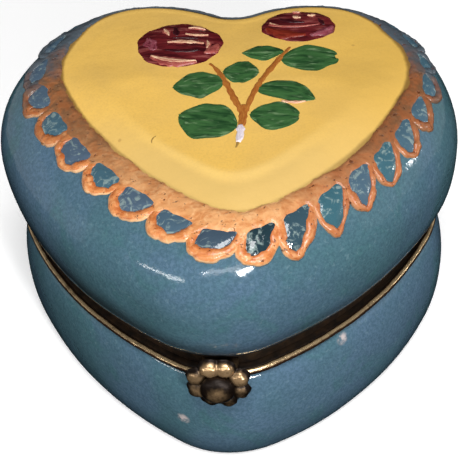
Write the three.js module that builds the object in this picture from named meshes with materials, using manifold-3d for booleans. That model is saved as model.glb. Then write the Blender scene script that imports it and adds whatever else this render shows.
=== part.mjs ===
// A hinged heart-shaped porcelain trinket box: two hollow porcelain shells, each with a brass collar
// cemented round its mouth, a tube hinge in the notch of the heart and a sprung rosette clasp at its tip.
// Millimetres, +Z up, origin under the middle of the box on the surface it stands on, -Y towards the tip.
// Every outline is one heart made of tangent arcs; an inset moves each arc inwards, so a solid of
// the box is a list of [inset, height] rings with skin between them.

import * as THREE from "three";
import { mergeVertices } from "three/addons/utils/BufferGeometryUtils.js";
import Module from "manifold-3d";

const wasm = await Module();
wasm.setup();

// ---------------------------------------------------------------- driving dimensions

// The heart, seen from above, at its widest (inset 0).
const LOBE = { x: 11.36, y: 8.21, r: 19.63 }; // centre and radius of the right-hand lobe
const REAR = { r: 23.15, from: 82 }; // the lobe flattens to this radius from 82 degrees round to the notch
const TIP = { y: -11.24, r: 14.78 }; // centre and radius of the rounded tip
const SIDE_R = 52.4; // long arc from lobe to tip
const NOTCH_R = 0.8; // fillet between the lobes

// The box is hand-made, so its halves and levels aren't quite true.
const FULLER_LEFT = 0.012; // the left half is this much fuller, the right this much leaner
const LID_LEAN = 0.016; // the tip stands off to the right by this much of its distance from the notch
const BASE_LEAN = 0.039;
const BASE_SHIFT_X = -0.99; // the base's notch against the lid's
const PANEL_SHIFT = { x: 1.64, y: 2.34, lean: 0.072, stretch: 0.067 }; // the plateau against the lid

// Heights.
const SEAM_Z = 16.7; // top of the base collar's flange
const BASE_BULGE = { inset: 0.94, z: 8.4 };
const BASE_MOUTH_INSET = 3.05; // outer edge of the porcelain at the seam
const FOOT = { inset: 3.1, width: 3.2, recess: 0.9 };
const FLOOR = { inset: 9.6, z: 3.9 };
const LID_MOUTH = { inset: 2.8, z: 19.6 };
const LID_BULGE_Z = 28.7;
const PANEL = { inset: 8.0, z: 38.4 }; // foot of the raised heart plateau
const PLATEAU_RISE = 1.3;
const WALL = 2.6; // porcelain

// Brass.
const SHEET = 0.6; // collar sheet
const SLEEVE_DEPTH = 2.2; // how far each collar reaches past its flange
const WIRE_R = 0.45;
const WIRE_INSET = 2.3;
const WIRE_DROP = 0.1; // the wire's middle is this far below the flange's top
const SLEEVE_INSET = 5.1; // outer face of the sleeve inside the base's mouth
const LIP = { inset: 5.0, rise: 1.3 }; // upstand that guides the lid
const SKIRT_INSET = 3.4; // outer face of the lid collar's visible band
const FIT = 0.1; // cement line or gap between pieces that touch
const LID_COLLAR = { bottom: SEAM_Z + 0.45, top: LID_MOUTH.z - FIT };

// Hinge, behind the notch.
const PIVOT = { y: 27.2, z: SEAM_Z + 0.75 };
const KNUCKLE = { r: 1.3, bore: 0.62, length: 2.8, gap: 0.2, chamfer: 0.2 };
const PIN = { r: 0.55, head: 0.85, dome: 0.5 };
const LEAF = { thickness: 0.5, half: 4.0 };

// Clasp, at the tip.
const CLASP_X = 0.85;
const TONGUE = { width: 4.6, inset: 1.0, bottom: 14.6, thickness: 0.5, shelf: SEAM_Z + 1.2 };
const ROSETTE = { z: 17.6, r: 4.3, depth: 1.1, petals: 8 };
const BEAD = { r: 2.2, flattening: 0.56, height: 1.4 }; // height of its middle over the flower's back
const NUB = { r: 0.85, width: 1.5 };

// ---------------------------------------------------------------- the heart outline

const STEPS = { notch: 2, rear: 5, lobe: 8, side: 6, tip: 4 }; // segments on each half

function arcPoints(cx, cy, r, from, to, steps) {
  const points = [];
  for (let i = 0; i < steps; i++) {
    const a = from + ((to - from) * i) / steps;
    points.push([cx + r * Math.cos(a), cy + r * Math.sin(a)]);
  }
  return points;
}

// Centre of the side arc: it touches the lobe and the tip from outside them.
const sideCentre = (() => {
  const dx = -LOBE.x;
  const dy = TIP.y - LOBE.y;
  const d = Math.hypot(dx, dy);
  const a = SIDE_R - LOBE.r;
  const b = SIDE_R - TIP.r;
  const along = (a * a - b * b + d * d) / (2 * d);
  const across = Math.sqrt(a * a - along * along);
  return { x: LOBE.x + (dx * along + dy * across) / d, y: LOBE.y + (dy * along - dx * across) / d };
})();

// Centre of the rear arc: it touches the lobe's arc from around it, in the direction where they meet.
const rearAngle = THREE.MathUtils.degToRad(REAR.from);
const rearCentre = {
  x: LOBE.x + (LOBE.r - REAR.r) * Math.cos(rearAngle),
  y: LOBE.y + (LOBE.r - REAR.r) * Math.sin(rearAngle),
};

const notchCentreY = rearCentre.y + Math.sqrt((NOTCH_R + REAR.r) ** 2 - rearCentre.x ** 2);
const notchY = notchCentreY - NOTCH_R;
const tipY = TIP.y - TIP.r;

// Right half from the notch to the tip, mirrored to the left half, counterclockwise from above.
function heart(inset) {
  const fromNotch = Math.atan2(notchCentreY - rearCentre.y, -rearCentre.x);
  const toSide = Math.atan2(LOBE.y - sideCentre.y, LOBE.x - sideCentre.x);
  const toTip = Math.atan2(TIP.y - sideCentre.y, -sideCentre.x);
  const half = [
    ...arcPoints(0, notchCentreY, NOTCH_R + inset, -Math.PI / 2, fromNotch - Math.PI, STEPS.notch),
    ...arcPoints(rearCentre.x, rearCentre.y, REAR.r - inset, fromNotch, rearAngle, STEPS.rear),
    ...arcPoints(LOBE.x, LOBE.y, LOBE.r - inset, rearAngle, toSide, STEPS.lobe),
    ...arcPoints(sideCentre.x, sideCentre.y, SIDE_R - inset, toSide, toTip, STEPS.side),
    ...arcPoints(0, TIP.y, TIP.r - inset, toTip, -Math.PI / 2, STEPS.tip),
    [0, tipY + inset],
  ];
  const left = half.slice(1, -1).map(([x, y]) => [-x, y]);
  return [...half.reverse(), ...left];
}

// The heart as it was made: fuller on the left, and leaning by the given share.
function handMade(inset, lean) {
  const fuller = (x) => x * (x < 0 ? 1 + FULLER_LEFT : 1 - FULLER_LEFT);
  return heart(inset).map(([x, y]) => [fuller(x) + lean * (notchY - y), y]);
}

// One ring of a piece of the lid. panel runs from 0, on the lid's outline, to 1, on the plateau's.
function lidRing(inset, z, panel = 0) {
  return handMade(inset, LID_LEAN).map(([x, y]) => [
    x + panel * (PANEL_SHIFT.x - PANEL_SHIFT.lean * y),
    y + panel * (PANEL_SHIFT.y + PANEL_SHIFT.stretch * y),
    z,
  ]);
}

// One ring of a piece of the base.
function baseRing(inset, z) {
  return handMade(inset, BASE_LEAN).map(([x, y]) => [x + BASE_SHIFT_X, y, z]);
}

const middle = { x: 0.5, y: 4 }; // well inside every ring

// A ring drawn in towards the middle.
function scaledRing(ring, scale, z) {
  return ring.map(([x, y]) => [middle.x + (x - middle.x) * scale, middle.y + (y - middle.y) * scale, z]);
}

// ---------------------------------------------------------------- solids

// Skin over rings of equal length. A capped loft closes each end with a fan to the ring's middle;
// an uncapped one joins the last ring to the first.
function loft(rings, capped) {
  const n = rings[0].length;
  const positions = rings.flat(2);
  const index = [];
  const last = capped ? rings.length - 1 : rings.length;
  for (let r = 0; r < last; r++) {
    const a = r * n;
    const b = ((r + 1) % rings.length) * n;
    for (let i = 0; i < n; i++) {
      const j = (i + 1) % n;
      index.push(a + i, a + j, b + j, a + i, b + j, b + i);
    }
  }
  if (capped) {
    const first = positions.length / 3;
    positions.push(middle.x, middle.y, rings[0][0][2], middle.x, middle.y, rings.at(-1)[0][2]);
    const top = (rings.length - 1) * n;
    for (let i = 0; i < n; i++) {
      const j = (i + 1) % n;
      index.push(first, j, i, first + 1, top + i, top + j);
    }
  }
  const geometry = new THREE.BufferGeometry();
  geometry.setAttribute("position", new THREE.Float32BufferAttribute(positions, 3));
  geometry.setIndex(index);
  return geometry;
}

// Quarter of an ellipse between two [inset, height] points. "flat" leaves the first point level,
// "steep" leaves it upright.
function quarter([i0, z0], [i1, z1], start, steps) {
  const points = [];
  for (let s = 0; s <= steps; s++) {
    const t = (s / steps) * (Math.PI / 2);
    const fast = Math.sin(t);
    const slow = 1 - Math.cos(t);
    const [fi, fz] = start === "flat" ? [fast, slow] : [slow, fast];
    points.push([i0 + (i1 - i0) * fi, z0 + (z1 - z0) * fz]);
  }
  return points;
}

function toSolid(geometry) {
  const plain = geometry.clone();
  plain.deleteAttribute("normal");
  plain.deleteAttribute("uv");
  const merged = mergeVertices(plain, 1e-4);
  return new wasm.Manifold(
    new wasm.Mesh({
      numProp: 3,
      vertProperties: new Float32Array(merged.attributes.position.array),
      triVerts: new Uint32Array(merged.index.array),
    }),
  );
}

function toGeometry(solid) {
  const { numProp, vertProperties, triVerts } = solid.getMesh();
  const positions = [];
  for (let i = 0; i < vertProperties.length; i += numProp) {
    positions.push(...vertProperties.subarray(i, i + 3));
  }
  const geometry = new THREE.BufferGeometry();
  geometry.setAttribute("position", new THREE.Float32BufferAttribute(positions, 3));
  geometry.setIndex([...triVerts]);
  return geometry;
}

function box(x0, x1, y0, y1, z0, z1) {
  const block = new THREE.BoxGeometry(x1 - x0, y1 - y0, z1 - z0);
  return block.translate((x0 + x1) / 2, (y0 + y1) / 2, (z0 + z1) / 2);
}

// A turned shape about the hinge line; profile holds [radius, x] pairs.
function turned(profile, closed) {
  const points = profile.map(([r, x]) => new THREE.Vector2(r, x));
  if (closed) points.push(points[0].clone());
  return new THREE.LatheGeometry(points, 20)
    .rotateZ(-Math.PI / 2)
    .translate(0, PIVOT.y, PIVOT.z);
}

// The room that a leaf leaves for its knuckles.
function saddle() {
  const r = KNUCKLE.r + FIT;
  return toSolid(
    new THREE.CylinderGeometry(r, r, 14, 24).rotateZ(Math.PI / 2).translate(0, PIVOT.y, PIVOT.z),
  );
}

// ---------------------------------------------------------------- materials

const paint = (color, roughness, metalness) =>
  new THREE.MeshStandardMaterial({ color, roughness, metalness });
const glaze = paint(0x5a7f92, 0.15, 0);
const brass = paint(0x8a6a3c, 0.4, 1);
const brightBrass = paint(0xc9a765, 0.25, 1);
const steel = paint(0x8d8578, 0.35, 1);

const base = new THREE.Group();
const lid = new THREE.Group();

function addPiece(group, name, geometry, material) {
  const mesh = new THREE.Mesh(geometry, material);
  mesh.name = name;
  group.add(mesh);
  return mesh;
}

// ---------------------------------------------------------------- porcelain

function baseShell() {
  const mouth = { inset: SLEEVE_INSET - FIT, z: SEAM_Z - SHEET - FIT };
  const bulge = [BASE_BULGE.inset, BASE_BULGE.z];
  const insideBulge = [BASE_BULGE.inset + WALL + 0.4, BASE_BULGE.z + 1.4];
  const outside = quarter([FOOT.inset, 0], bulge, "flat", 5);
  const shoulder = quarter(bulge, [BASE_MOUTH_INSET, mouth.z], "steep", 4);
  const inside = quarter(insideBulge, [FLOOR.inset, FLOOR.z], "steep", 4);
  const rings = [
    [FOOT.inset + FOOT.width + FOOT.recess, FOOT.recess],
    [FOOT.inset + FOOT.width, 0],
    ...outside,
    ...shoulder.slice(1),
    [mouth.inset, mouth.z],
    [mouth.inset, mouth.z - WALL],
    ...inside,
  ].map(([inset, z]) => baseRing(inset, z));
  return loft(rings, true);
}

function lidShell() {
  const mouthInset = LID_MOUTH.inset + WALL;
  const roof = { inset: PANEL.inset + 1.9, z: PANEL.z - WALL };
  const insideBulge = { inset: WALL + 0.3, z: LID_BULGE_Z };
  const underside = quarter([LID_MOUTH.inset, LID_MOUTH.z], [0, LID_BULGE_Z], "flat", 5);
  const dome = quarter([0, LID_BULGE_Z], [PANEL.inset, PANEL.z], "steep", 8);
  const inner = quarter([insideBulge.inset, insideBulge.z], [roof.inset, roof.z], "steep", 6);
  const { smoothstep } = THREE.MathUtils;
  const foot = lidRing(PANEL.inset, PANEL.z, 1);
  const innerPanel = (inset) => smoothstep(inset, insideBulge.inset, roof.inset);
  return loft(
    [
      scaledRing(lidRing(roof.inset, 0, 1), 0.5, roof.z + 0.5),
      ...inner.map(([inset, z]) => lidRing(inset, z, innerPanel(inset))).reverse(),
      lidRing(mouthInset, LID_MOUTH.z + WALL),
      lidRing(mouthInset, LID_MOUTH.z),
      ...underside.map(([inset, z]) => lidRing(inset, z)),
      ...dome.slice(1).map(([inset, z]) => lidRing(inset, z, smoothstep(inset, 0, PANEL.inset))),
      scaledRing(foot, 0.93, PANEL.z + 0.55 * PLATEAU_RISE),
      scaledRing(foot, 0.82, PANEL.z + 0.9 * PLATEAU_RISE),
      scaledRing(foot, 0.5, PANEL.z + PLATEAU_RISE),
    ],
    true,
  );
}

addPiece(base, "base_shell", baseShell(), glaze);
addPiece(lid, "lid_shell", lidShell(), glaze);

// ---------------------------------------------------------------- brass collars

// Flange on the base's mouth, with a sleeve down inside it and a lip that guides the lid.
function baseCollar() {
  const flangeInset = WIRE_INSET + WIRE_R + 0.05;
  const section = [
    [flangeInset, SEAM_Z - SHEET],
    [flangeInset, SEAM_Z],
    [LIP.inset, SEAM_Z],
    [LIP.inset, SEAM_Z + LIP.rise],
    [SLEEVE_INSET + SHEET, SEAM_Z + LIP.rise],
    [SLEEVE_INSET + SHEET, SEAM_Z - SHEET - SLEEVE_DEPTH],
    [SLEEVE_INSET, SEAM_Z - SHEET - SLEEVE_DEPTH],
    [SLEEVE_INSET, SEAM_Z - SHEET],
  ];
  return loft(section.map(([inset, z]) => baseRing(inset, z)), false);
}

// Bright round wire soldered along the flange's edge.
function rimWire(r) {
  const sides = 8;
  const section = [];
  for (let i = 0; i < sides; i++) {
    const a = (i / sides) * 2 * Math.PI;
    section.push([WIRE_INSET - r * Math.cos(a), SEAM_Z - WIRE_DROP + r * Math.sin(a)]);
  }
  return loft(section.map(([inset, z]) => baseRing(inset, z)), false);
}

// Visible band under the lid, with a flange against the porcelain and a sleeve up inside it.
function lidCollar() {
  const sleeveInset = LID_MOUTH.inset + WALL + FIT;
  const { bottom, top } = LID_COLLAR;
  const section = [
    [SKIRT_INSET, bottom],
    [SKIRT_INSET, top],
    [sleeveInset, top],
    [sleeveInset, top + SLEEVE_DEPTH],
    [sleeveInset + SHEET, top + SLEEVE_DEPTH],
    [sleeveInset + SHEET, top - SHEET],
    [SKIRT_INSET + SHEET, top - SHEET],
    [SKIRT_INSET + SHEET, bottom],
  ];
  return loft(section.map(([inset, z]) => lidRing(inset, z)), false);
}

addPiece(base, "base_collar", baseCollar(), brass);
addPiece(base, "base_rim_wire", rimWire(WIRE_R), brightBrass);
addPiece(lid, "lid_collar", lidCollar(), brass);

// ---------------------------------------------------------------- hinge

const knuckleEnd = 1.5 * KNUCKLE.length + KNUCKLE.gap;

function knuckle(middleX) {
  const { r, bore, length, chamfer } = KNUCKLE;
  const [x0, x1] = [middleX - length / 2, middleX + length / 2];
  const outside = [[r - chamfer, x0], [r, x0 + chamfer], [r, x1 - chamfer], [r - chamfer, x1]];
  return turned([[bore, x0], ...outside, [bore, x1]], true);
}

// The pin, with both ends peened into a dome.
function hingePin() {
  const neck = knuckleEnd + FIT;
  const crown = [[PIN.head * 0.8, neck + PIN.dome * 0.7], [0, neck + PIN.dome]];
  const end = [[PIN.r, neck], [PIN.head, neck], ...crown];
  const otherEnd = end.map(([r, x]) => [r, -x]).reverse();
  return turned([...otherEnd, ...end], false);
}

// A tall plug of the lid's outline, to trim a leaf where it meets the lid's collar.
const lidPlug = (inset) => toSolid(loft([lidRing(inset, SEAM_Z - 5), lidRing(inset, SEAM_Z + 8)], true));

// Both leaves are sheet that starts against a collar in the notch and ends saddled to its knuckles.
function baseLeaf() {
  const { thickness, half } = LEAF;
  const bottom = SEAM_Z + 0.4;
  const root = notchY - SKIRT_INSET + 0.4;
  const rootEnd = notchY - WIRE_INSET - WIRE_R - FIT;
  const arm = KNUCKLE.length / 2 + KNUCKLE.gap; // clears the middle knuckle
  const plate = toSolid(box(-half, half, root, PIVOT.y - 0.6, bottom, bottom + thickness));
  const foot = toSolid(box(-1.5, 1.5, root, rootEnd, SEAM_Z + 0.02, bottom + 0.01));
  const slot = toSolid(box(-arm, arm, PIVOT.y - KNUCKLE.r - 0.35, PIVOT.y, bottom - 1, bottom + 1));
  return toGeometry(plate.add(foot).subtract(slot).subtract(saddle()).subtract(lidPlug(SKIRT_INSET - 0.3)));
}

function lidLeaf() {
  const { thickness, half } = LEAF;
  const bottom = SEAM_Z + 1.15;
  const root = notchY - SKIRT_INSET - 1;
  const arm = KNUCKLE.length / 2 - FIT; // ends inside the middle knuckle's length
  const wide = toSolid(box(-half, half, root, PIVOT.y - KNUCKLE.r - 0.45, bottom, bottom + thickness));
  const narrow = toSolid(box(-arm, arm, root, PIVOT.y - 0.3, bottom, bottom + thickness));
  return toGeometry(wide.add(narrow).subtract(saddle()).subtract(lidPlug(SKIRT_INSET - 0.05)));
}

addPiece(base, "base_hinge_leaf", baseLeaf(), brass);
addPiece(lid, "lid_hinge_leaf", lidLeaf(), brass);
addPiece(base, "knuckle_left", knuckle(-KNUCKLE.length - KNUCKLE.gap), brass);
addPiece(lid, "knuckle_middle", knuckle(0), brass);
addPiece(base, "knuckle_right", knuckle(KNUCKLE.length + KNUCKLE.gap), brass);
addPiece(base, "hinge_pin", hingePin(), steel);

// ---------------------------------------------------------------- clasp

// Sprung strip bent from the lid's collar out over the rim wire and down, cut from rings so that
// it follows the curve of the tip.
function claspTongue() {
  const { width, inset, bottom, thickness, shelf } = TONGUE;
  const section = [
    [inset, bottom],
    [inset - thickness, bottom],
    [inset - thickness, shelf],
    [inset, shelf + thickness],
    [SKIRT_INSET - 0.05, shelf + thickness],
    [SKIRT_INSET - 0.05, shelf],
    [inset, shelf],
  ];
  const ring = toSolid(loft(section.map(([i, z]) => lidRing(i, z)), false));
  const cut = toSolid(box(CLASP_X - width / 2, CLASP_X + width / 2, tipY - 5, tipY + 10, 5, 25));
  return toGeometry(ring.intersect(cut));
}

// A flattened ball over the flower's middle, grown all round by a gap.
const beadShape = (gap) =>
  new THREE.SphereGeometry(BEAD.r + gap, 20, 12).scale(1, BEAD.flattening, 1).translate(0, BEAD.height, 0);

// A cast flower: rounded petals round a dished middle, flat behind.
function claspFlower() {
  const { r, depth, petals } = ROSETTE;
  let flower = toSolid(new THREE.CylinderGeometry(r * 0.72, r * 0.62, depth, 24));
  for (let i = 0; i < petals; i++) {
    const a = ((i + 0.5) / petals) * 2 * Math.PI;
    const petal = new THREE.SphereGeometry(1, 12, 8).scale(r * 0.34, depth * 1.05, r * 0.29);
    petal.rotateY(-a).translate(0.68 * r * Math.cos(a), 0, 0.68 * r * Math.sin(a));
    flower = flower.add(toSolid(petal));
  }
  const back = toSolid(box(-r * 2, r * 2, -3, -depth / 2, -r * 2, r * 2));
  const seat = toSolid(beadShape(FIT).translate(0, -depth / 2, 0));
  return toGeometry(flower.subtract(back).subtract(seat)).translate(0, depth / 2, 0);
}

// A nub soldered over the wire, which the tongue snaps over.
function catchNub() {
  const behindTongue = tipY + TONGUE.inset + 0.05;
  const nub = toSolid(
    new THREE.SphereGeometry(NUB.r, 16, 12)
      .scale(NUB.width, 1, 1)
      .translate(CLASP_X, behindTongue + NUB.r, SEAM_Z - WIRE_DROP),
  );
  return toGeometry(nub.subtract(toSolid(rimWire(WIRE_R + 0.04))));
}

// The flower lies on the tongue, square to the tip's arc.
const rosette = new THREE.Group();
rosette.position.set(CLASP_X, tipY + TONGUE.inset - TONGUE.thickness - 0.2, ROSETTE.z);
rosette.rotation.x = Math.PI;
addPiece(rosette, "clasp_flower", claspFlower(), brass);
addPiece(rosette, "clasp_bead", beadShape(0), brass);
lid.add(rosette);

addPiece(lid, "clasp_tongue", claspTongue(), brass);
addPiece(base, "catch_nub", catchNub(), brass);

const trinketBox = new THREE.Group();
trinketBox.add(base, lid);
export default trinketBox;
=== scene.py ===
"""Looks of a hinged, heart-shaped porcelain trinket box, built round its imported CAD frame.

Lengths are in millimetres in the code and become metres in the meshes. Every outline is one heart
made of tangent arcs, as in the CAD: an inset moves each arc inwards. The lid's painted decoration
is laid on a chart of its surface: s runs round the box, v runs outwards from the foot of the plateau.
"""

import math
import random

import bpy
import numpy as np
from mathutils import Matrix, Vector, noise
from mathutils.bvhtree import BVHTree


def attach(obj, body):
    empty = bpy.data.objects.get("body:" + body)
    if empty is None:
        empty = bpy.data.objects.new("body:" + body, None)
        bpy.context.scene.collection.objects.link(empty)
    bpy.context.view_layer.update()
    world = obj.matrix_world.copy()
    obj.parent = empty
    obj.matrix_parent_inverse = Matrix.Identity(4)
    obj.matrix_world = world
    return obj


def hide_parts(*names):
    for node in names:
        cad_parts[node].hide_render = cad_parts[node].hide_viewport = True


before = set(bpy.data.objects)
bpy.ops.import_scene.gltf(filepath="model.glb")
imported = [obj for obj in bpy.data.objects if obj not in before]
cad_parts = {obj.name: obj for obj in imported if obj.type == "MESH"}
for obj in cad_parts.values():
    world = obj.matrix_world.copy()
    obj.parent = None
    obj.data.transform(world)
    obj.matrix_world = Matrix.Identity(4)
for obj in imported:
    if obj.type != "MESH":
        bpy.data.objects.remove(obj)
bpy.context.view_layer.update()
MM = 0.001

# ---------------- driving dimensions, as in the CAD

LOBE_X, LOBE_Y, LOBE_R = 11.36, 8.21, 19.63
REAR_R, REAR_FROM = 23.15, math.radians(82)
TIP_Y, TIP_R = -11.24, 14.78
SIDE_R = 52.4
NOTCH_R = 0.8
FULLER_LEFT = 0.012
LID_LEAN, BASE_LEAN, BASE_SHIFT_X = 0.016, 0.039, -0.99
PANEL_X, PANEL_Y, PANEL_LEAN, PANEL_STRETCH = 1.64, 2.34, 0.072, 0.067

SEAM_Z = 16.7
BULGE_INSET, BULGE_Z = 0.94, 8.4
BASE_MOUTH_INSET = 3.05
FOOT_INSET, FOOT_WIDTH, RECESS = 3.1, 3.2, 0.9
FLOOR_INSET, FLOOR_Z = 9.6, 3.9
LID_MOUTH_INSET, LID_MOUTH_Z = 2.8, 19.6
LID_BULGE_Z = 28.7
PANEL_INSET, PANEL_Z = 8.0, 38.4
PLATEAU_RISE = 1.3
WALL = 2.6
SHEET = 0.6
SLEEVE_DEPTH = 2.2
WIRE_R, WIRE_INSET, WIRE_DROP = 0.45, 2.3, 0.1
SLEEVE_INSET, SKIRT_INSET = 5.1, 3.4
LIP_INSET, LIP_RISE = 5.0, 1.3
FIT = 0.1
PIVOT_Y, PIVOT_Z = 27.2, SEAM_Z + 0.75
KNUCKLE_R, KNUCKLE_BORE, KNUCKLE_LENGTH, KNUCKLE_GAP = 1.3, 0.62, 2.8, 0.2
PIN_R, PIN_HEAD_R, PIN_DOME = 0.55, 0.85, 0.5
CLASP_X = 0.85
TONGUE_WIDTH, TONGUE_INSET, TONGUE_BOTTOM, TONGUE_SHEET = 4.6, 1.0, 14.6, 0.5
ROSETTE_Z, ROSETTE_R, ROSETTE_DEPTH, PETALS = 17.6, 4.3, 1.1, 8
BEAD_R, BEAD_FLATTENING, BEAD_HEIGHT = 2.2, 0.56, 1.4
NUB_R, NUB_WIDTH = 0.85, 1.5
MIDDLE = np.array([0.5, 4.0])  # rings of the plateau and floor shrink towards this point


# ---------------- the heart outline

ARC_STEPS = {"notch": 8, "rear": 18, "lobe": 32, "side": 22, "tip": 16}  # on each half


def arc(cx, cy, r, start, end, steps):
    a = start + (end - start) * np.arange(steps) / steps
    return np.column_stack([cx + r * np.cos(a), cy + r * np.sin(a)])


def side_centre():
    """Centre of the long side arc, which touches the lobe and the tip from outside them."""
    d = np.array([-LOBE_X, TIP_Y - LOBE_Y])
    length = np.hypot(*d)
    a, b = SIDE_R - LOBE_R, SIDE_R - TIP_R
    along = (a * a - b * b + length**2) / (2 * length)
    across = math.sqrt(a * a - along * along)
    return np.array([LOBE_X, LOBE_Y]) + (d * along + np.array([d[1], -d[0]]) * across) / length


SIDE_X, SIDE_Y = side_centre()
REAR_X = LOBE_X + (LOBE_R - REAR_R) * math.cos(REAR_FROM)
REAR_Y = LOBE_Y + (LOBE_R - REAR_R) * math.sin(REAR_FROM)
NOTCH_CENTRE_Y = REAR_Y + math.sqrt((NOTCH_R + REAR_R) ** 2 - REAR_X**2)
NOTCH_Y = NOTCH_CENTRE_Y - NOTCH_R
FRONT_Y = TIP_Y - TIP_R


def heart(inset):
    """The true outline at an inset: points counterclockwise from the tip."""
    from_notch = math.atan2(NOTCH_CENTRE_Y - REAR_Y, -REAR_X)
    to_side = math.atan2(LOBE_Y - SIDE_Y, LOBE_X - SIDE_X)
    to_tip = math.atan2(TIP_Y - SIDE_Y, -SIDE_X)
    half = np.vstack([
        arc(0, NOTCH_CENTRE_Y, NOTCH_R + inset, -math.pi / 2, from_notch - math.pi, ARC_STEPS["notch"]),
        arc(REAR_X, REAR_Y, REAR_R - inset, from_notch, REAR_FROM, ARC_STEPS["rear"]),
        arc(LOBE_X, LOBE_Y, LOBE_R - inset, REAR_FROM, to_side, ARC_STEPS["lobe"]),
        arc(SIDE_X, SIDE_Y, SIDE_R - inset, to_side, to_tip, ARC_STEPS["side"]),
        arc(0, TIP_Y, TIP_R - inset, to_tip, -math.pi / 2, ARC_STEPS["tip"]),
        [[0, FRONT_Y + inset]],
    ])
    return np.vstack([half[::-1], half[1:-1] * [-1, 1]])


def hand_made(inset, lean):
    """The outline as it was made: fuller on the left, and leaning a little."""
    x, y = heart(inset).T
    fuller = np.where(x < 0, 1 + FULLER_LEFT, 1 - FULLER_LEFT)
    return np.column_stack([x * fuller + lean * (NOTCH_Y - y), y])


def smooth(t):
    t = np.clip(t, 0, 1)
    return t * t * (3 - 2 * t)


def bell(x, width):
    """1 at x = 0, falling off evenly on both sides; 0.37 at the width."""
    return math.exp(-((x / width) ** 2))


def at_height(ring, z):
    return np.column_stack([ring, np.broadcast_to(z, len(ring))])


def lid_ring(inset, z, panel=0.0):
    """A ring of the lid. panel runs from 0, on the lid's outline, to 1, on the plateau's."""
    x, y = hand_made(inset, LID_LEAN).T
    x, y = x + panel * (PANEL_X - PANEL_LEAN * y), y + panel * (PANEL_Y + PANEL_STRETCH * y)
    return at_height(np.column_stack([x, y]), z)


def dome_ring(inset, z):
    return lid_ring(inset, z, smooth(inset / PANEL_INSET))


def base_ring(inset, z):
    return at_height(hand_made(inset, BASE_LEAN) + [BASE_SHIFT_X, 0], z)


def shrunk(ring, scale, z):
    return at_height(MIDDLE + (ring[:, :2] - MIDDLE) * scale, z)


def quarter(p0, p1, start, steps):
    """Quarter of an ellipse between two (inset, height) points, level or upright at the first."""
    t = np.linspace(0, math.pi / 2, steps + 1)
    fast, slow = np.sin(t), 1 - np.cos(t)
    fi, fz = (fast, slow) if start == "level" else (slow, fast)
    return [(p0[0] + (p1[0] - p0[0]) * a, p0[1] + (p1[1] - p0[1]) * b) for a, b in zip(fi, fz)]


# ---------------- meshes

def new_object(name, vertices, faces, materials, face_material=None, values=None):
    """A mesh object from millimetre vertices. values holds a number per vertex for each attribute name."""
    mesh = bpy.data.meshes.new(name)
    mesh.from_pydata([tuple(v * MM) for v in np.asarray(vertices, float)], [], faces)
    for material in materials:
        mesh.materials.append(material)
    if face_material is not None:
        mesh.polygons.foreach_set("material_index", face_material)
    mesh.polygons.foreach_set("use_smooth", [True] * len(mesh.polygons))
    for key, numbers in (values or {}).items():
        attribute = mesh.attributes.new(key, "FLOAT", "POINT")
        attribute.data.foreach_set("value", np.asarray(numbers, np.float32))
    mesh.validate()
    mesh.update()
    made = bpy.data.objects.new(name, mesh)
    bpy.context.scene.collection.objects.link(made)
    return made


def fitted(made, body, slot, *nodes):
    """Puts a piece on the body it rides on and hides the CAD nodes it stands for; slot is not used."""
    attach(made, body)
    if nodes:
        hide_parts(*nodes)


def loft_faces(rings, points, closed):
    """Quads between neighbouring rings; closed joins the last ring to the first."""
    faces, bands = [], rings if closed else rings - 1
    for r in range(bands):
        a, b = r * points, ((r + 1) % rings) * points
        for i in range(points):
            j = (i + 1) % points
            faces.append((a + i, a + j, b + j, b + i))
    return faces


def capped_mesh(rings, first, last):
    """Rings with a middle point at each end: vertices, and faces with the last cap facing outwards."""
    n = len(rings[0])
    vertices = np.vstack([*rings, [first], [last]])
    faces = loft_faces(len(rings), n, False)
    start, top = len(vertices) - 2, (len(rings) - 1) * n
    faces += [(start, (i + 1) % n, i) for i in range(n)]
    faces += [(start + 1, top + i, top + (i + 1) % n) for i in range(n)]
    return vertices, faces


def face_bands(bands, n):
    """Material index per face for capped_mesh: one index per band of quads, then the two caps."""
    return [b for b in bands for _ in range(n)] + [bands[0]] * n + [bands[-1]] * n


def rounded(section, radius, steps=3):
    """The section's corners cut back and rounded, for sheet metal edges that catch the light."""
    points = [np.array(p, float) for p in section]
    out = []
    for i, p in enumerate(points):
        before, after = points[i - 1] - p, points[(i + 1) % len(points)] - p
        cut = min(radius, np.hypot(*before) * 0.45, np.hypot(*after) * 0.45)
        a = p + before / np.hypot(*before) * cut
        b = p + after / np.hypot(*after) * cut
        for k in range(steps + 1):
            t = k / steps
            out.append(tuple((1 - t) ** 2 * a + 2 * t * (1 - t) * p + t * t * b))
    return out


FIELD_SEED = 4  # without a seed, noise_vector gives another field in every run


def wobble(vertices, size, scale, shift=0.0):
    """Moves each point by up to about size, along a smooth noise field with lumps about scale apart."""
    noise.seed_set(FIELD_SEED)
    moved = []
    for v in vertices:
        q = Vector((v[0] / scale + shift, v[1] / scale - shift, v[2] / scale + 2 * shift))
        moved.append(v + size * np.array(noise.noise_vector(q)))
    return np.array(moved)


def ripple(x, y=0.0, z=0.0):
    """Smooth noise between about -0.5 and 0.5."""
    return noise.noise(Vector((x, y, z)))


# ---------------- materials

def srgb(r, g, b):
    """A colour given as 0-255 screen values, in linear light."""
    linear = [((c / 255 + 0.055) / 1.055) ** 2.4 if c > 10 else c / 255 / 12.92 for c in (r, g, b)]
    return (*linear, 1.0)


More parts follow.
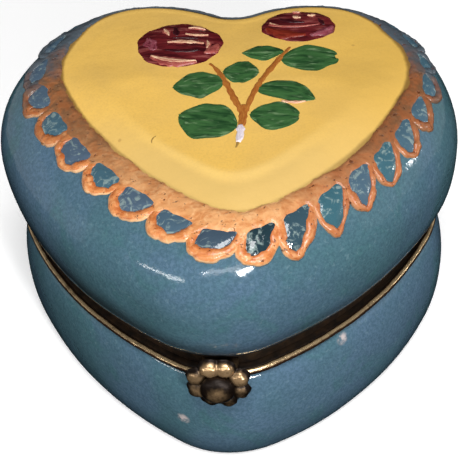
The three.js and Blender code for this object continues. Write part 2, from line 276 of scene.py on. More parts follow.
class Nodes:
    """A material's node tree, with one short call for each kind of node that is used here."""

    def __init__(self, name):
        self.material = bpy.data.materials.new(name)
        self.material.use_nodes = True
        self.tree = self.material.node_tree
        self.shader = self.tree.nodes["Principled BSDF"]
        self.where = self.tree.nodes.new("ShaderNodeTexCoord").outputs["Object"]

    def set(self, **sockets):
        for name, value in sockets.items():
            self.shader.inputs[name.replace("_", " ")].default_value = value

    def link(self, output, name):
        self.tree.links.new(output, self.shader.inputs[name])

    def feed(self, socket, value):
        if isinstance(value, bpy.types.NodeSocket):
            self.tree.links.new(value, socket)
        else:
            socket.default_value = value

    def new(self, kind, **inputs):
        """A new node of this kind, with numbers or other nodes' outputs on its named inputs."""
        node = self.tree.nodes.new(f"ShaderNode{kind}")
        for name, value in inputs.items():
            self.feed(node.inputs[name.replace("_", " ")], value)
        return node

    def attribute(self, name):
        node = self.new("Attribute")
        node.attribute_name = name
        return node.outputs["Fac"]

    def noise(self, scale, detail=3.0, roughness=0.55, distortion=0.0, where=None):
        """Noise with features about 1/scale millimetres across."""
        node = self.new("TexNoise", Vector=where or self.where, Scale=scale / MM, Detail=detail)
        node.inputs["Roughness"].default_value = roughness
        node.inputs["Distortion"].default_value = distortion
        return node.outputs["Fac"]

    def cells(self, scale):
        """Distance to the nearest of many scattered points, about 1/scale millimetres apart."""
        return self.new("TexVoronoi", Vector=self.where, Scale=scale / MM).outputs["Distance"]

    def math(self, kind, a, b=0.0):
        node = self.new("Math")
        node.operation = kind
        self.feed(node.inputs[0], a)
        self.feed(node.inputs[1], b)
        return node.outputs[0]

    def plus(self, a, b):
        return self.math("ADD", a, b)

    def times(self, a, b):
        return self.math("MULTIPLY", a, b)

    def ramp(self, value, low, high, out_low=0.0, out_high=1.0):
        """value from low..high to out_low..out_high, eased and held at both ends."""
        ends = {"From_Min": low, "From_Max": high, "To_Min": out_low, "To_Max": out_high}
        node = self.new("MapRange", Value=value, **ends)
        node.interpolation_type = "SMOOTHSTEP"
        return node.outputs["Result"]

    def mix(self, share, a, b):
        """Colour a with a share of b laid over it. Each is a socket or three 0-255 screen values."""
        node = self.new("Mix")
        node.data_type = "RGBA"
        self.feed(node.inputs[0], share)
        for socket, colour in ((node.inputs[6], a), (node.inputs[7], b)):
            self.feed(socket, colour if isinstance(colour, bpy.types.NodeSocket) else srgb(*colour))
        return node.outputs[2]

    def axis(self, name):
        return self.new("SeparateXYZ", Vector=self.where).outputs[name]

    def near(self, place, inner, outer):
        """1 within inner millimetres of a place, falling to 0 at outer."""
        node = self.new("VectorMath")
        node.operation = "DISTANCE"
        self.tree.links.new(self.where, node.inputs[0])
        node.inputs[1].default_value = Vector(place) * MM
        return self.ramp(node.outputs["Value"], inner * MM, outer * MM, 1.0, 0.0)

    def stretched(self, along, across, along_scale, across_scale):
        """Texture coordinates that follow a brush stroke; the scales are in waves per unit."""
        along, across = self.times(along, along_scale * MM), self.times(across, across_scale * MM)
        return self.new("CombineXYZ", X=along, Y=across, Z=self.axis("Y")).outputs[0]

    def bump(self, height, distance, strength):
        node = self.new("Bump", Height=height, Strength=strength, Distance=distance * MM)
        self.link(node.outputs["Normal"], "Normal")
        self.link(node.outputs["Normal"], "Coat Normal")


def blue_glaze_colour(n):
    """Mottled slate blue: violet-grey and teal clouds, fine specks and thin, lighter brush drags."""
    clouds = n.ramp(n.noise(0.045, 3, 0.6, 0.4), 0.36, 0.64)
    colour = n.mix(clouds, (76, 110, 120), (86, 112, 134))
    teal = n.ramp(n.noise(0.12, 4, 0.65, 1.2), 0.5, 0.72, 0.0, 0.6)
    colour = n.mix(teal, colour, (70, 112, 114))
    grain = n.ramp(n.noise(2.6, 3, 0.75), 0.38, 0.62, 0.0, 0.5)
    colour = n.mix(grain, colour, (54, 80, 92))
    pale = n.ramp(n.noise(1.7, 4, 0.7, 0.8), 0.54, 0.74, 0.0, 0.32)
    return n.mix(pale, colour, (128, 156, 164))


def glaze_skin(n):
    """The glossy, slightly uneven surface of a hand-dipped glaze."""
    n.set(Roughness=0.1, IOR=1.45, Specular_IOR_Level=0.45)
    unevenness = n.plus(n.noise(0.16, 2, 0.5), n.times(n.noise(0.9, 3, 0.6), 0.14))
    n.bump(unevenness, 0.4, 0.5)


BLEMISHES = [(16.0, -15.9, 14.9), (-4.6, -23.9, 7.9)]  # pale nicks in the base's glaze


def blue_glaze():
    n = Nodes("blue_glaze")
    colour = blue_glaze_colour(n)
    # Painted shade: the base's glaze is darker towards its foot.
    colour = n.mix(n.ramp(n.axis("Z"), 0.0, 7.0 * MM, 0.6, 0.0), colour, (52, 72, 86))
    for place in BLEMISHES:
        ragged = n.times(n.near(place, 0.3, 1.1), n.ramp(n.noise(1.4), 0.35, 0.55, 0.1, 1.0))
        colour = n.mix(ragged, colour, (190, 178, 176))
    n.link(colour, "Base Color")
    glaze_skin(n)
    return n.material


def lid_paint():
    """Blue glaze with the ochre heart, and painted shade on the glaze above the rim, most at the left.

    The attribute v is the distance outwards from the foot of the plateau."""
    n = Nodes("lid_paint")
    v = n.attribute("v")
    back = n.ramp(n.axis("Y"), -18 * MM, 6 * MM)
    ochre = n.mix(n.ramp(n.noise(0.07, 3, 0.6, 0.5), 0.3, 0.7), (241, 195, 98), (232, 189, 102))
    ochre = n.mix(n.ramp(n.noise(3.0, 3, 0.7), 0.4, 0.7, 0.0, 0.3), ochre, (208, 166, 86))
    ochre = n.mix(n.ramp(n.axis("X"), 4 * MM, 24 * MM, 0.0, 0.5), ochre, (214, 172, 80))
    front = n.ramp(n.axis("Y"), -14 * MM, 4 * MM, 1.0, 0.0)
    # Painted highlight: a pale line where the heart's flat top turns down to its front slope.
    shoulder = n.times(n.ramp(v, -6.4, -4.9, 0.0, 0.35), front)
    ochre = n.mix(shoulder, ochre, (246, 216, 146))
    # Painted shade on the heart's front slope.
    slope = n.times(n.ramp(v, -5.0, -3.0, 0.0, 0.7), front)
    ochre = n.mix(slope, ochre, (200, 166, 98))
    ochre = n.mix(n.ramp(n.cells(0.22), 0.03, 0.07, 0.5, 0.0), ochre, (176, 132, 70))
    edge = n.plus(v, n.times(n.math("SUBTRACT", n.noise(0.35, 3), 0.5), 0.5))
    most_at_back = n.plus(n.times(back, 0.7), 0.1)
    # Painted shade in the crease at the heart's foot, strongest round the back.
    crease_shade = n.times(n.ramp(edge, -0.45, 0.05), most_at_back)
    ochre = n.mix(crease_shade, ochre, (112, 80, 40))
    # Painted shade on the glaze just above the lid's rim, where the lid overhangs the gap; it reaches
    # higher at the left.
    shade_rise = n.times(n.ramp(n.axis("X"), -22 * MM, 5 * MM, 3.4, 0.0), MM)
    painted_rim_shade = n.ramp(n.math("SUBTRACT", n.axis("Z"), shade_rise), LID_MOUTH_Z * MM, 25.0 * MM, 0.8, 0.0)
    blue = n.mix(painted_rim_shade, blue_glaze_colour(n), (36, 36, 36))
    n.link(n.mix(n.ramp(v, 1.1, 1.4), ochre, blue), "Base Color")
    glaze_skin(n)
    n.link(n.ramp(v, 0.6, 1.2, 0.34, 0.1), "Roughness")
    return n.material


def pool_glaze():
    """Darker glaze that gathered inside each loop; tint goes from violet-grey to teal, depth to black."""
    n = Nodes("pool_glaze")
    colour = n.mix(n.attribute("tint"), (86, 102, 122), (64, 106, 118))
    colour = n.mix(n.attribute("depth"), colour, (28, 46, 52))
    # Milky glaze with painted highlights: pale patches in the pools.
    milky_and_highlight = n.ramp(n.noise(0.7, 3, 0.65, 1.4), 0.52, 0.66, 0.0, 0.7)
    colour = n.mix(milky_and_highlight, colour, (146, 164, 160))
    n.link(colour, "Base Color")
    n.set(Roughness=0.09, IOR=1.5)
    n.bump(n.noise(0.8, 3, 0.6), 0.25, 0.5)
    return n.material


def white_glaze():
    n = Nodes("white_glaze")
    tint = n.ramp(n.noise(0.08, 3, 0.6), 0.35, 0.65)
    colour = n.mix(tint, (236, 236, 230), (222, 226, 226))
    specks = n.ramp(n.cells(0.18), 0.02, 0.05, 0.5, 0.0)
    n.link(n.mix(specks, colour, (120, 112, 100)), "Base Color")
    glaze_skin(n)
    return n.material


def biscuit():
    """Bare fired clay on the foot ring."""
    n = Nodes("biscuit")
    stain = n.ramp(n.noise(0.3, 4, 0.7), 0.35, 0.7)
    n.link(n.mix(stain, (226, 219, 205), (196, 184, 165)), "Base Color")
    n.set(Roughness=0.85)
    n.bump(n.noise(2.5, 4, 0.7), 0.08, 0.6)
    return n.material


def lace_paint(name, dark, mid, pale, rust_from, rust, fade_from):
    """Thick peach slip with darker brush drags, browner at the right and towards the back of the lid.

    rust_from and fade_from are the Y, in mm, from which it turns brown and then blue-grey."""
    n = Nodes(name)
    across, along = n.attribute("across"), n.attribute("along")
    streaks = n.noise(1.0, 4, 0.65, 0.4, where=n.stretched(along, across, 0.45, 1.1))
    colour = n.mix(n.ramp(streaks, 0.34, 0.6), dark, mid)
    light = n.ramp(n.noise(0.9, 4, 0.65, 0.8), 0.46, 0.7, 0.0, 0.75)
    colour = n.mix(light, colour, pale)
    colour = n.mix(n.ramp(across, 0.1, 0.95, 0.0, 0.65), colour, (186, 96, 46))
    colour = n.mix(n.ramp(across, -1.0, -0.6, 0.8, 0.0), colour, (246, 206, 158))
    right = n.plus(n.axis("X"), n.times(n.noise(0.5, 3), 6 * MM))
    colour = n.mix(n.ramp(right, 9 * MM, 20 * MM, 0.0, 0.6), colour, (158, 92, 60))
    back = n.plus(n.axis("Y"), n.times(n.noise(0.35, 4, 0.6), 14 * MM))
    colour = n.mix(n.ramp(back, rust_from * MM, (rust_from + 20) * MM, 0.0, 0.85), colour, rust)
    patches = n.ramp(n.noise(0.55, 4, 0.65), 0.42, 0.6, 0.0, 0.5)
    smear = n.times(n.ramp(back, rust_from * MM, (rust_from + 24) * MM), patches)
    colour = n.mix(smear, colour, (86, 80, 62))
    colour = n.mix(n.ramp(back, fade_from * MM, (fade_from + 9) * MM, 0.0, 0.92), colour, (72, 88, 98))
    pits = n.ramp(n.noise(1.5, 3, 0.6, 0.4), 0.62, 0.7, 0.0, 0.85)
    colour = n.mix(pits, colour, (96, 48, 26))
    n.link(colour, "Base Color")
    n.set(Roughness=0.28, IOR=1.5)
    n.bump(n.math("SUBTRACT", n.noise(0.9, 4, 0.65), pits), 0.12, 0.7)
    return n.material


def enamel(name, dark, mid, light, light_share, scale=0.8):
    """Brushed enamel: streaks of three shades that follow the stroke."""
    n = Nodes(name)
    across, along = n.attribute("across"), n.attribute("along")
    streaks = n.noise(1.0, 4, 0.65, 0.4, where=n.stretched(along, across, 0.45 * scale, 2.4 * scale))
    colour = n.mix(n.ramp(streaks, 0.34, 0.6), dark, mid)
    top = n.ramp(n.noise(1.0, 3, 0.6, 0.5, where=n.stretched(along, across, 0.6, 3.0)), 0.52, 0.72)
    colour = n.mix(n.times(top, light_share), colour, light)
    rim = n.ramp(n.math("ABSOLUTE", across), 0.8, 1.0, 0.0, 0.35)
    n.link(n.mix(rim, colour, dark), "Base Color")
    n.set(Roughness=0.34, IOR=1.45)
    n.bump(streaks, 0.1, 0.6)
    return n.material


def aged_brass(name, deep, worn_and_highlight, wear_and_highlight_from, wear_and_highlight_to, roughness, metallic):
    """Brass with brown patina in the hollows; the relief attribute says what stands proud and is rubbed,
    and where highlights are painted on.
    """
    n = Nodes(name)
    patches = n.times(n.math("SUBTRACT", n.noise(0.9, 4, 0.6), 0.5), 0.9)
    rubbed_and_highlight = n.plus(n.attribute("relief_and_highlight"), patches)
    colour = n.mix(n.ramp(rubbed_and_highlight, wear_and_highlight_from, wear_and_highlight_to), deep, worn_and_highlight)
    stains = n.ramp(n.noise(0.5, 4, 0.7, 0.5), 0.5, 0.72, 0.0, 0.6)
    n.link(n.mix(stains, colour, [c * 0.55 for c in deep]), "Base Color")
    n.set(Metallic=metallic)
    n.link(n.ramp(rubbed_and_highlight, wear_and_highlight_from, wear_and_highlight_to, roughness + 0.15, roughness - 0.1), "Roughness")
    n.bump(n.noise(3.0, 4, 0.7), 0.05, 0.5)
    return n.material


BLUE = blue_glaze()
LID_PAINT = lid_paint()
POOL = pool_glaze()
WHITE = white_glaze()
BISCUIT = biscuit()
LACE = lace_paint("lace_paint", (188, 104, 54), (216, 140, 84), (240, 182, 126), -4, (128, 78, 50), 10)
BAND = lace_paint("band_paint", (204, 132, 78), (228, 166, 110), (240, 188, 134), -12, (136, 82, 50), 14)
LEAF = enamel("leaf_green", (32, 66, 36), (62, 104, 58), (134, 162, 120), 0.6)
STEM = enamel("stem_ochre", (156, 86, 36), (176, 110, 48), (198, 138, 70), 0.4)
ROSE = enamel("rose_maroon", (62, 14, 20), (108, 32, 36), (172, 98, 92), 0.6)
PETAL = enamel("petal_cream", (176, 108, 88), (226, 184, 148), (250, 232, 200), 0.6, 1.5)
BLUSH = enamel("petal_blush", (128, 52, 50), (164, 84, 76), (206, 138, 116), 0.6)
RUSSET = enamel("petal_russet", (92, 24, 16), (126, 42, 28), (158, 72, 52), 0.5)
WINE = enamel("rose_wine", (36, 8, 14), (58, 14, 22), (104, 40, 46), 0.3)
PLUM = enamel("petal_plum", (92, 30, 40), (140, 68, 80), (186, 130, 134), 0.5)
BUD = enamel("bud_white", (206, 190, 200), (232, 222, 228), (248, 244, 248), 0.4)
FLAW = enamel("old_scratch", (150, 118, 58), (172, 136, 70), (192, 152, 84), 0.4)
BRONZE = aged_brass("antique_bronze", (30, 20, 14), (216, 178, 132), 0.25, 1.05, 0.3, 0.7)
# Nearly black: dark patina with painted shade of the gap under the lid's overhang.
COLLAR_BRASS = aged_brass("collar_brass", (14, 10, 8), (76, 56, 38), 0.1, 0.9, 0.45, 0.4)
DARK_BRASS = aged_brass("dark_brass", (40, 28, 18), (136, 98, 60), 0.1, 0.9, 0.42, 0.45)
BRIGHT_BRASS = aged_brass("bright_brass", (66, 44, 28), (240, 208, 160), 0.3, 0.8, 0.32, 0.8)
PIN_STEEL = aged_brass("pin_steel", (92, 84, 74), (150, 142, 130), 0.2, 0.9, 0.36, 1.0)


# ---------------- chart of the lid's surface

DOME = quarter((0, LID_BULGE_Z), (PANEL_INSET, PANEL_Z), "upright", 42)
REAR_SPREAD = 1.6


def profile_lengths(profile):
    """Distance along a list of (inset, height) points, from the first."""
    p = np.array(profile)
    return np.concatenate([[0], np.cumsum(np.hypot(*np.diff(p, axis=0).T))])


class LidChart:
    """Places on the lid by (s, v): millimetres round the box from the tip, counterclockwise seen from
    above, and millimetres outwards from the foot of the plateau."""

    def __init__(self):
        profile = DOME[::-1][:-1]
        self.points = np.array([dome_ring(*p) for p in profile])
        self.v = profile_lengths(profile)
        halfway = min(range(len(profile)), key=lambda i: abs(profile[i][0] - PANEL_INSET / 2))
        ring = self.points[halfway]
        steps = np.linalg.norm(np.roll(ring, -1, 0) - ring, axis=1)
        self.s = np.concatenate([[0], np.cumsum(steps)])
        self.round = self.s[-1]

    def place(self, s, v):
        r = np.interp(v, self.v, np.arange(len(self.v)))
        c = np.interp(s % self.round, self.s, np.arange(len(self.s)))
        r0, c0 = int(min(r, len(self.v) - 2)), int(c)
        n = self.points.shape[1]
        fr, fc = r - r0, c - c0
        p = self.points
        near = p[r0, c0 % n] * (1 - fc) + p[r0, (c0 + 1) % n] * fc
        far = p[r0 + 1, c0 % n] * (1 - fc) + p[r0 + 1, (c0 + 1) % n] * fc
        return near * (1 - fr) + far * fr

    def frame(self, s, v):
        """Point, and the surface's normal there."""
        step = 0.15
        ds = self.place(s + step, v) - self.place(s - step, v)
        dv = self.place(s, min(v + step, self.v[-1])) - self.place(s, max(v - step, 0))
        normal = np.cross(dv, ds)
        return self.place(s, v), normal / np.linalg.norm(normal)


CHART = LidChart()


def signed(s):
    """Millimetres round the box from the tip: to the right positive, to the left negative."""
    return (s + CHART.round / 2) % CHART.round - CHART.round / 2


def rear_spread(s):
    """How far the ochre paint runs over the plateau's foot, which it does only round the back."""
    return REAR_SPREAD * smooth((np.abs(signed(s)) - 52) / 14)


# ---------------- porcelain

CLAY_WAVER, CLAY_LUMPS = 0.16, 11.0  # how far fired clay strays, and how far apart its lumps are
FRONT_SLOPE, REAR_SLOPE = 0.27, 0.95  # share of the way from the plateau's foot to its middle that slopes


def plateau_rings(foot):
    """Rings from the foot of the raised heart to its middle, with the distance from the foot."""
    rings, depths = [], []
    reach = np.hypot(*(foot[:, :2] - MIDDLE).T).mean()
    slope = FRONT_SLOPE + (REAR_SLOPE - FRONT_SLOPE) * smooth((foot[:, 1] - 2) / 18)
    for k in range(1, 45):
        share = (k / 46) ** 1.35
        rise = PLATEAU_RISE * np.sin(np.minimum(1, share / slope) * math.pi / 2)
        rings.append(shrunk(foot, 1 - share, PANEL_Z + rise))
        depths.append(-share * reach)
    return rings, depths


def build_lid():
    mouth = LID_MOUTH_INSET + WALL
    roof_inset, roof_z = PANEL_INSET + 1.9, PANEL_Z - WALL
    start = WALL + 0.3
    inner = quarter((start, LID_BULGE_Z), (roof_inset, roof_z), "upright", 20)[::-1]
    lip = [(mouth, LID_MOUTH_Z + WALL), (mouth, LID_MOUTH_Z + 0.25), (mouth - 0.25, LID_MOUTH_Z)]
    under = quarter((LID_MOUTH_INSET + 0.4, LID_MOUTH_Z), (0, LID_BULGE_Z), "level", 24)
    roof = lid_ring(roof_inset, roof_z, 1)
    inside = [shrunk(roof, s, roof_z + 0.5 * (1 - s)) for s in (0.1, 0.3, 0.5, 0.7, 0.85)]
    inside += [lid_ring(*p, smooth((p[0] - start) / (roof_inset - start))) for p in inner]
    inside += [lid_ring(*p) for p in lip]
    outside = [lid_ring(*p) for p in under] + [dome_ring(*p) for p in DOME[1:]]
    top, top_depths = plateau_rings(outside[-1])
    rings = inside + outside + top
    n = len(rings[0])
    lengths = profile_lengths(DOME[1:])
    far = 40.0  # any distance well outside the painted heart
    v = [far] * (len(inside) + len(under)) + list(lengths[-1] - lengths) + top_depths
    bands = [1] * (len(inside) - 1) + [0] * (len(outside) + len(top))
    vertices, faces = capped_mesh(rings, [*MIDDLE, rings[0][0][2]], [*MIDDLE, rings[-1][0][2]])
    spread = np.tile(rear_spread(CHART.s[:-1]), len(rings))
    values = {"v": (np.repeat(v, n) - spread).tolist() + [far, top_depths[-1]]}
    materials = face_bands(bands, n)
    moved = wobble(vertices, CLAY_WAVER, CLAY_LUMPS, shift=3.0)
    lid = new_object("porcelain_lid", moved, faces, [LID_PAINT, WHITE], materials, values)
    fitted(lid, "lid", "lid_glaze", "lid_shell")
    return lid


def build_base():
    mouth_z, mouth = SEAM_Z - SHEET - FIT, SLEEVE_INSET - FIT
    ring_inner = FOOT_INSET + FOOT_WIDTH
    under = [(ring_inner + RECESS, RECESS), (ring_inner + 0.3, 0.1)]
    under += [(ring_inner, 0.0), (FOOT_INSET + 0.4, 0.0)]
    outside = quarter((FOOT_INSET, 0.05), (BULGE_INSET, BULGE_Z), "level", 22)
    shoulder = quarter((BULGE_INSET, BULGE_Z), (BASE_MOUTH_INSET, mouth_z), "upright", 22)[1:]
    lip = [(mouth - 0.25, mouth_z), (mouth, mouth_z - 0.25), (mouth, mouth_z - WALL)]
    inner = quarter((BULGE_INSET + WALL + 0.4, BULGE_Z + 1.4), (FLOOR_INSET, FLOOR_Z), "upright", 16)
    floor = base_ring(*inner[-1])
    rings = [shrunk(base_ring(*under[0]), s, RECESS) for s in (0.1, 0.4, 0.7, 0.9)]
    rings += [base_ring(*p) for p in under + outside + shoulder + lip + inner]
    rings += [shrunk(floor, s, FLOOR_Z) for s in (0.9, 0.7, 0.4, 0.1)]
    bands = [1] * 5 + [2] * 3 + [0] * (len(outside) + len(shoulder) - 1)
    bands += [1] * (len(rings) - 1 - len(bands))
    vertices, faces = capped_mesh(rings, [*MIDDLE, RECESS], [*MIDDLE, FLOOR_Z])
    moved = wobble(vertices, CLAY_WAVER, CLAY_LUMPS, shift=7.0)
    moved[:, 2] = np.where(vertices[:, 2] < 0.2, vertices[:, 2], moved[:, 2])  # the foot stays flat
    materials = face_bands(bands, len(rings[0]))
    base = new_object("porcelain_base", moved, faces, [BLUE, WHITE, BISCUIT], materials)
    fitted(base, "base", "base_glaze", "base_shell")


LID = build_lid()
build_base()


def lid_tree():
    """The lid's own mesh, for laying paint on its top."""
    mesh = LID.data
    return BVHTree.FromPolygons([v.co for v in mesh.vertices], [list(p.vertices) for p in mesh.polygons])


TREE = lid_tree()


def on_top(x, y):
    """Point of the lid's top above (x, y)."""
    hit = TREE.ray_cast(Vector((x * MM, y * MM, 0.1)), Vector((0, 0, -1)))[0]
    return np.array(hit) / MM


# ---------------- peach lace round the plateau

RIGHT_LOOPS, RIGHT_PITCH, RIGHT_FIRST = 15, 5.1, 4.4
LEFT_LOOPS, LEFT_PITCH, LEFT_FIRST = 13, 6.35, -1.2
FRONT_S = 12.5  # where the lace hangs longest, a little to the right of the tip
ROPE_WIDTH, ROPE_HEIGHT, LOOP_REACH = 1.45, 0.42, 4.6
BAND_WIDTH, BAND_HEIGHT = 2.3, 0.24
LENS_RISE = 0.34
WEB_REACH, WEB_SPREAD = 1.3, 0.75
LOOP_SHAKE, SHAKES_PER_MM = 0.22, 0.9


def band_width(s):
    """How far the band runs out from the plateau's foot: it is widest at the tip."""
    return BAND_WIDTH + 0.6 * bell(signed(s), 11)


def web(s):
    """How far the band runs out between two loops, where their roots meet."""
    off = signed(s)
    if off > (RIGHT_FIRST + LEFT_FIRST) / 2:
        stem = (off - RIGHT_FIRST) / RIGHT_PITCH + 0.5
        pitch = RIGHT_PITCH
    else:
        stem = (LEFT_FIRST - off) / LEFT_PITCH + 0.5
        pitch = LEFT_PITCH
    miss = abs(stem - round(stem)) * pitch
    return WEB_REACH * bell(miss, WEB_SPREAD)


def loop_reach(s):
    """How far out from the plateau's foot a loop's tip hangs."""
    off = signed(s) - FRONT_S
    return LOOP_REACH + 3.3 * bell(off, 12 if off < 0 else 20)


def rope_width(s):
    """The loops' ropes are thinner at the right, and a little thicker at the tip."""
    return ROPE_WIDTH - 0.45 * float(smooth((signed(s) - 6) / 10)) + 0.1 * bell(signed(s), 6)


def rope(path, width, height):
    """A flattened rope along chart points: vertices, faces and paint values."""
    sides, n = 10, len(path)
    vertices, across, along = [], [], []
    points = [CHART.frame(s, v + rear_spread(s)) for s, v in path]
    for k, (p, normal) in enumerate(points):
        tangent = points[min(k + 1, n - 1)][0] - points[max(k - 1, 0)][0]
        tangent /= np.linalg.norm(tangent)
        side = np.cross(normal, tangent)
        grow = 1 + 0.55 * ripple(*(p * 0.55)) + 0.25 * ripple(*(p * 1.7))
        sunk = min(1.0, k / 7, (n - 1 - k) / 7)
        for i in range(sides):
            a = 2 * math.pi * i / sides
            lift = height * math.sin(a) * (grow * sunk if math.sin(a) > 0 else 0.9)
            vertices.append(p + side * (width / 2 * grow * math.cos(a)) + normal * lift)
            across.append(math.cos(a))
            along.append(k * 0.3)
    faces = [f[::-1] for f in loft_faces(n, sides, False)]
    faces += [tuple(range(sides)), tuple((n - 1) * sides + i for i in reversed(range(sides)))]
    return vertices, faces, across, along


def loop_path(middle, half, root, reach, pointed, skew):
    """A hanging loop, out from the band on one side, round its tip and back in on the other."""
    path = []
    for k in range(37):
        t = k / 36
        out = math.sin(math.pi * t)
        round_s, round_v = -math.cos(math.pi * t) * (1 + 0.12 * out), out**0.7
        spike = 1 - abs(1 - 2 * t)
        point_s, point_v = (2 * t - 1) * (1 + 0.55 * spike * (1 - spike)), spike**0.8
        s = middle + half * (round_s * (1 - pointed) + point_s * pointed) + skew * out
        v = root + (reach - root) * (round_v * (1 - pointed) + point_v * pointed)
        a, b = s * SHAKES_PER_MM, v * SHAKES_PER_MM
        path.append((s + LOOP_SHAKE * ripple(a, b, middle), v + LOOP_SHAKE * ripple(b, a, -middle)))
    return path


def gather(parts):
    """Joins (vertices, faces, values...) tuples into one set."""
    joined = [[], []] + [[] for _ in parts[0][2:]]
    for vertices, faces, *values in parts:
        start = len(joined[0])
        joined[0] += list(vertices)
        joined[1] += [tuple(start + k for k in f) for f in faces]
        for whole, new in zip(joined[2:], values):
            whole += list(new)
    return joined


def pool(path, rng):
    """A lens of glaze inside a loop: vertices, faces, and its tint and depth of colour."""
    s0, v0 = np.mean(path, axis=0)
    top = band_width(s0) - 0.4
    edge = [(s, max(v, top)) for s, v in path]
    edge += [(edge[-1][0] + (edge[0][0] - edge[-1][0]) * k / 8, top) for k in range(1, 8)]
    vertices = []
    for share in (1.0, 0.9, 0.75, 0.55, 0.3):
        for s, v in edge:
            p, normal = CHART.frame(s0 + (s - s0) * share, v0 + (v - v0) * share + rear_spread(s))
            vertices.append(p + normal * (LENS_RISE * (1 - share**2) - 0.04))
    p, normal = CHART.frame(s0, v0 + rear_spread(s0))
    vertices.append(p + normal * 0.3)
    n = len(edge)
    faces = loft_faces(5, n, False) + [(5 * n, 4 * n + i, 4 * n + (i + 1) % n) for i in range(n)]
    near_front = bell(signed(s0) - 4.5, 6.5)
    tint = np.clip(rng.uniform(0.0, 0.7) + 0.3 * smooth(signed(s0) / 8), 0, 1)
    depth = 0.15 + 0.75 * near_front
    return vertices, [f[::-1] for f in faces], [tint] * len(vertices), [depth] * len(vertices)


def build_lace():
    rng = random.Random(11)
    places = [(RIGHT_FIRST + RIGHT_PITCH * i, RIGHT_PITCH) for i in range(RIGHT_LOOPS)]
    places += [(LEFT_FIRST - LEFT_PITCH * i, LEFT_PITCH) for i in range(LEFT_LOOPS)]
    ropes, pools = [], []
    for number, (s, pitch) in enumerate(places):
        width = rope_width(s) * rng.uniform(0.92, 1.1)
        pointed = float(smooth((signed(s) - 2) / 9)) * rng.uniform(0.1, 0.5)
        half = pitch * 0.5 - width * 0.2 + rng.uniform(-0.1, 0.15)
        reach = loop_reach(s) + rng.uniform(-0.25, 0.25)
        path = loop_path(s, half, band_width(s) - 0.6, reach, pointed, rng.uniform(-0.35, 0.35))
        vertices, faces, across, along = rope(path, width, ROPE_HEIGHT * (1 + 0.12 * (number % 2)))
        ropes.append((vertices, faces, across, [a + number * 7.3 for a in along]))
        pools.append(pool(path, rng))
    vertices, faces, across, along = gather(ropes)
    loops = new_object("lace_loops", vertices, faces, [LACE], values={"across": across, "along": along})
    fitted(loops, "lid", "lid_glaze")
    vertices, faces, tint, depth = gather(pools)
    lenses = new_object("lace_pools", vertices, faces, [POOL], values={"tint": tint, "depth": depth})
    fitted(lenses, "lid", "lid_glaze")


def build_band():
    """The raised strip between the plateau and the loops, with a wavering inner edge."""
    columns, rows = 900, 12
    vertices, across, along = [], [], []
    for r in range(rows):
        t = r / (rows - 1)
        for c in range(columns):
            s = CHART.round * c / columns
            inner = 0.1 + 0.5 * ripple(s * 0.3, 0.3) + 0.2 * ripple(s * 1.3, 5)
            outer = band_width(s) + web(s) + 0.35 * ripple(s * 0.6, 9)
            p, normal = CHART.frame(s, max(0.0, inner + (outer - inner) * t) + rear_spread(s))
            lumps = 0.08 * ripple(s * 0.6, t * 3, 4) + 0.06 * ripple(s * 1.9, t * 6, 4)
            vertices.append(p + normal * ((BAND_HEIGHT + lumps) * (1 - abs(2 * t - 1) ** 5) - 0.06))
            across.append((t - 0.5) * 0.9)
            along.append(s)
    for c in range(columns):
        s = CHART.round * c / columns
        p, normal = CHART.frame(s, band_width(s) / 2 + rear_spread(s))
        vertices.append(p - normal * 0.5)
        across.append(0.0)
        along.append(s)
    faces = [f[::-1] for f in loft_faces(rows, columns, False)]
    base, last = rows * columns, (rows - 1) * columns
    for c in range(columns):
        d = (c + 1) % columns
        faces += [(last + c, base + c, base + d, last + d)[::-1], (c, d, base + d, base + c)[::-1]]
    band = new_object("lace_band", vertices, faces, [BAND], values={"across": across, "along": along})
    fitted(band, "lid", "lid_glaze")


build_band()
build_lace()


# ---------------- painted sprig on the plateau

PAINT_SHEET = 0.12
PAINT_SINK = 0.05  # how far the edges of a patch dip under the glaze
LEAF_LIFT, ROSE_LIFT = 0.16, 0.3


def blank_sheet(rows, cols):
    """Empty arrays to be filled for a sheet of paint: its points, across, along and height."""
    return np.zeros((rows, cols, 2)), *(np.zeros((rows, cols)) for _ in range(3))


def bezier(points, t):
    """A point on the Bezier curve with these control points."""
    points = [np.array(p, float) for p in points]
    while len(points) > 1:
        points = [a * (1 - t) + b * t for a, b in zip(points, points[1:])]
    return points[0]


def sheet_of_paint(name, grid, across, along, height, material):
    """A thin domed patch of enamel over a grid of (x, y) points; across and along guide its streaks."""
    rows, cols = grid.shape[:2]
    vertices = [on_top(*grid[r, c]) + [0, 0, height[r, c]] for r in range(rows) for c in range(cols)]
    faces = []
    for r in range(rows - 1):
        for c in range(cols - 1):
            i = r * cols + c
            faces.append((i, i + 1, i + cols + 1, i + cols))
    centre = grid[rows // 2, cols // 2]
    a, b = grid[rows // 2, cols // 2 + 1] - centre, grid[rows // 2 + 1, cols // 2] - centre
    if a[0] * b[1] - a[1] * b[0] < 0:
        faces = [f[::-1] for f in faces]
    values = {"across": across.ravel().tolist(), "along": along.ravel().tolist()}
    made = new_object(name, vertices, faces, [material], values=values)
    solid = made.modifiers.new("thickness", "SOLIDIFY")
    solid.thickness = PAINT_SHEET * MM
    solid.offset = -1
    fitted(made, "lid", "lid_glaze")


